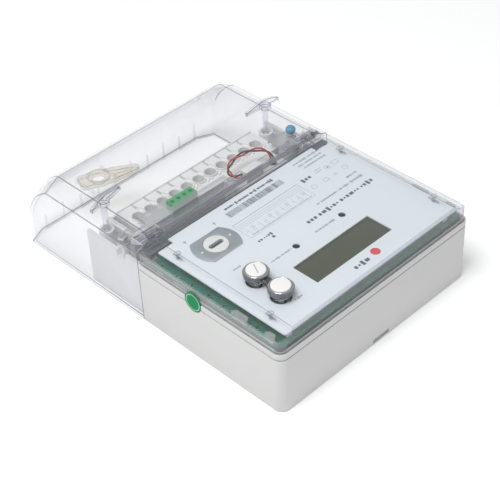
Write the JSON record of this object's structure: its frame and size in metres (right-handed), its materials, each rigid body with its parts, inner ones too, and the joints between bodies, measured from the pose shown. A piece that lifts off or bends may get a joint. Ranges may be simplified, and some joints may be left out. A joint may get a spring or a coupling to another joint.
{
  "type": "prepaid electricity meter",
  "caption": "Wall-mounted electricity meter with a clear hinged terminal cover, a display under a clear face, sprung push buttons and screw terminals.",
  "frame": {"origin": "middle of the flat back, under the seam between the body and the terminal cover", "axes": "+Z out of the face, +X towards the reader's right, +Y towards the meter's top edge"},
  "size_m": [0.17, 0.2408, 0.0674],
  "materials": {
    "base_plastic": "fine satin moulded",
    "clear_plastic": "clear polycarbonate, polished",
    "block_plastic": "satin moulded",
    "gasket_rubber": "matte",
    "connector_plastic": "satin moulded",
    "label_film": "printed film",
    "circuit_board": "solder mask",
    "screen_glass": "smooth glass-like",
    "white_plastic": "satin moulded",
    "port_steel": "satin grey",
    "collar_chrome": "polished",
    "button_plastic": "satin moulded",
    "spring_steel": "drawn wire",
    "screw_steel": "zinc plated",
    "clamp_brass": "machined",
    "black_plastic": "moulded",
    "led_lens": "clear red epoxy",
    "sensor_core": "potted",
    "battery_sleeve": "shrink sleeve",
    "lead_red": "soft insulation",
    "lead_black": "soft insulation",
    "seal_blue": "translucent moulded",
    "sticker_green": "printed film",
    "hanger_plastic": "translucent moulded"
  },
  "bodies": {
    "meter": {"base_case": "base_plastic", "cover_gasket": "gasket_rubber", "main_cover": "clear_plastic", "terminal_block": "block_plastic", "aux_header": "connector_plastic", "label_plate": "label_film", "main_board": "circuit_board", "screen_glass": "screen_glass", "screen_backlight": "white_plastic", "port_plate": "port_steel", "port_disc": "white_plastic", "button_collar": "collar_chrome", "button_spring_1": "spring_steel", "button_spring_2": "spring_steel", "tact_switch_1": "black_plastic", "tact_switch_2": "black_plastic", "pulse_led_1": "led_lens", "pulse_led_2": "led_lens", "current_sensor_1": "sensor_core", "current_sensor_2": "sensor_core", "current_sensor_3": "sensor_core", "supply_transformer": "sensor_core", "battery": "battery_sleeve", "battery_socket": "white_plastic", "battery_plug": "white_plastic", "battery_lead_red": "lead_red", "battery_lead_black": "lead_black", "cover_screw_1": "screw_steel", "cover_screw_2": "screw_steel", "seal_insert": "seal_blue", "inspection_sticker": "sticker_green", "terminal_clamp_1": "clamp_brass", "terminal_clamp_2": "clamp_brass", "terminal_clamp_3": "clamp_brass", "terminal_clamp_4": "clamp_brass", "terminal_clamp_5": "clamp_brass", "terminal_clamp_6": "clamp_brass", "terminal_clamp_7": "clamp_brass", "terminal_clamp_8": "clamp_brass", "terminal_clamp_9": "clamp_brass", "terminal_clamp_10": "clamp_brass", "terminal_clamp_11": "clamp_brass", "terminal_screw_1": "screw_steel", "terminal_screw_2": "screw_steel", "terminal_screw_3": "screw_steel", "terminal_screw_4": "screw_steel", "terminal_screw_5": "screw_steel", "terminal_screw_6": "screw_steel", "terminal_screw_7": "screw_steel", "terminal_screw_8": "screw_steel", "terminal_screw_9": "screw_steel", "terminal_screw_10": "screw_steel", "terminal_screw_11": "screw_steel"},
    "terminal_cover": {"terminal_cover": "clear_plastic"},
    "wing_screw_1": {"wing_screw_1": "clear_plastic"},
    "wing_screw_2": {"wing_screw_2": "clear_plastic"},
    "button_1": {"button_cap_1": "button_plastic"},
    "button_2": {"button_cap_2": "button_plastic"},
    "aux_plug": {"aux_plug": "connector_plastic"},
    "hanger": {"hanger": "hanger_plastic"}
  },
  "joints": [
    {"name": "cover_hinge", "type": "hinge", "parent": "meter", "child": "terminal_cover", "pos_m": [0, 0, 0.06], "axis": [-1, 0, 0], "range_deg": [0, 105]},
    {"name": "wing_screw_1_turn", "type": "hinge", "parent": "terminal_cover", "child": "wing_screw_1", "pos_m": [0.072, -0.0455, 0.06], "axis": [0, 0, 1], "range_deg": [0, 360]},
    {"name": "wing_screw_2_turn", "type": "hinge", "parent": "terminal_cover", "child": "wing_screw_2", "pos_m": [-0.072, -0.0455, 0.06], "axis": [0, 0, 1], "range_deg": [0, 360]},
    {"name": "button_1_press", "type": "slide", "parent": "meter", "child": "button_1", "axis": [0, 0, -1], "range_m": [0, 0.0012], "stiffness_N_per_m": 1200, "deforming": ["button_spring_1"]},
    {"name": "button_2_press", "type": "slide", "parent": "meter", "child": "button_2", "axis": [0, 0, -1], "range_m": [0, 0.0012], "stiffness_N_per_m": 1200, "deforming": ["button_spring_2"]},
    {"name": "aux_plug_pull", "type": "slide", "parent": "meter", "child": "aux_plug", "axis": [0, 0, 1], "range_m": [0, 0.008]},
    {"name": "hanger_slide", "type": "slide", "parent": "terminal_cover", "child": "hanger", "axis": [0, 1, 0], "range_m": [0, 0.02]}
  ]
}
